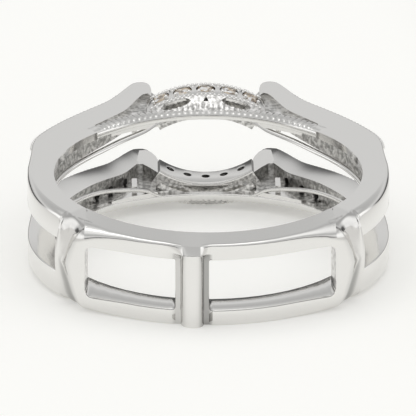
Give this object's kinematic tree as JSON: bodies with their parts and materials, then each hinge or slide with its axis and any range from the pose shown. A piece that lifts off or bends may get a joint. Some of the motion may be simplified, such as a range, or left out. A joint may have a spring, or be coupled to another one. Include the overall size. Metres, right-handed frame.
{
  "type": "ring guard enhancer",
  "caption": "White gold ring guard: parallel bands joined at the back, with stone-set bows and shoulders over an open head that takes a solitaire ring between them.",
  "frame": {"origin": "on the finger hole's axis, midway between the two outer side faces", "axes": "+Z along the finger hole's axis and up as the ring lies on its side, +Y towards the stone-set head, +X to the right as seen from the back"},
  "size_m": [0.0202, 0.0247, 0.0068],
  "materials": {
    "gold": "polished white gold",
    "stone": "clear faceted stone"
  },
  "bodies": {
    "root": {"ring_frame": "gold", "upper_bow_stone_1": "stone", "upper_bow_stone_2": "stone", "upper_bow_stone_3": "stone", "upper_bow_stone_4": "stone", "upper_bow_stone_5": "stone", "lower_bow_stone_1": "stone", "lower_bow_stone_2": "stone", "lower_bow_stone_3": "stone", "lower_bow_stone_4": "stone", "lower_bow_stone_5": "stone", "upper_left_stone_1": "stone", "upper_left_stone_2": "stone", "upper_left_stone_3": "stone", "upper_right_stone_1": "stone", "upper_right_stone_2": "stone", "upper_right_stone_3": "stone", "lower_left_stone_1": "stone", "lower_left_stone_2": "stone", "lower_left_stone_3": "stone", "lower_right_stone_1": "stone", "lower_right_stone_2": "stone", "lower_right_stone_3": "stone"}
  },
  "joints": []
}
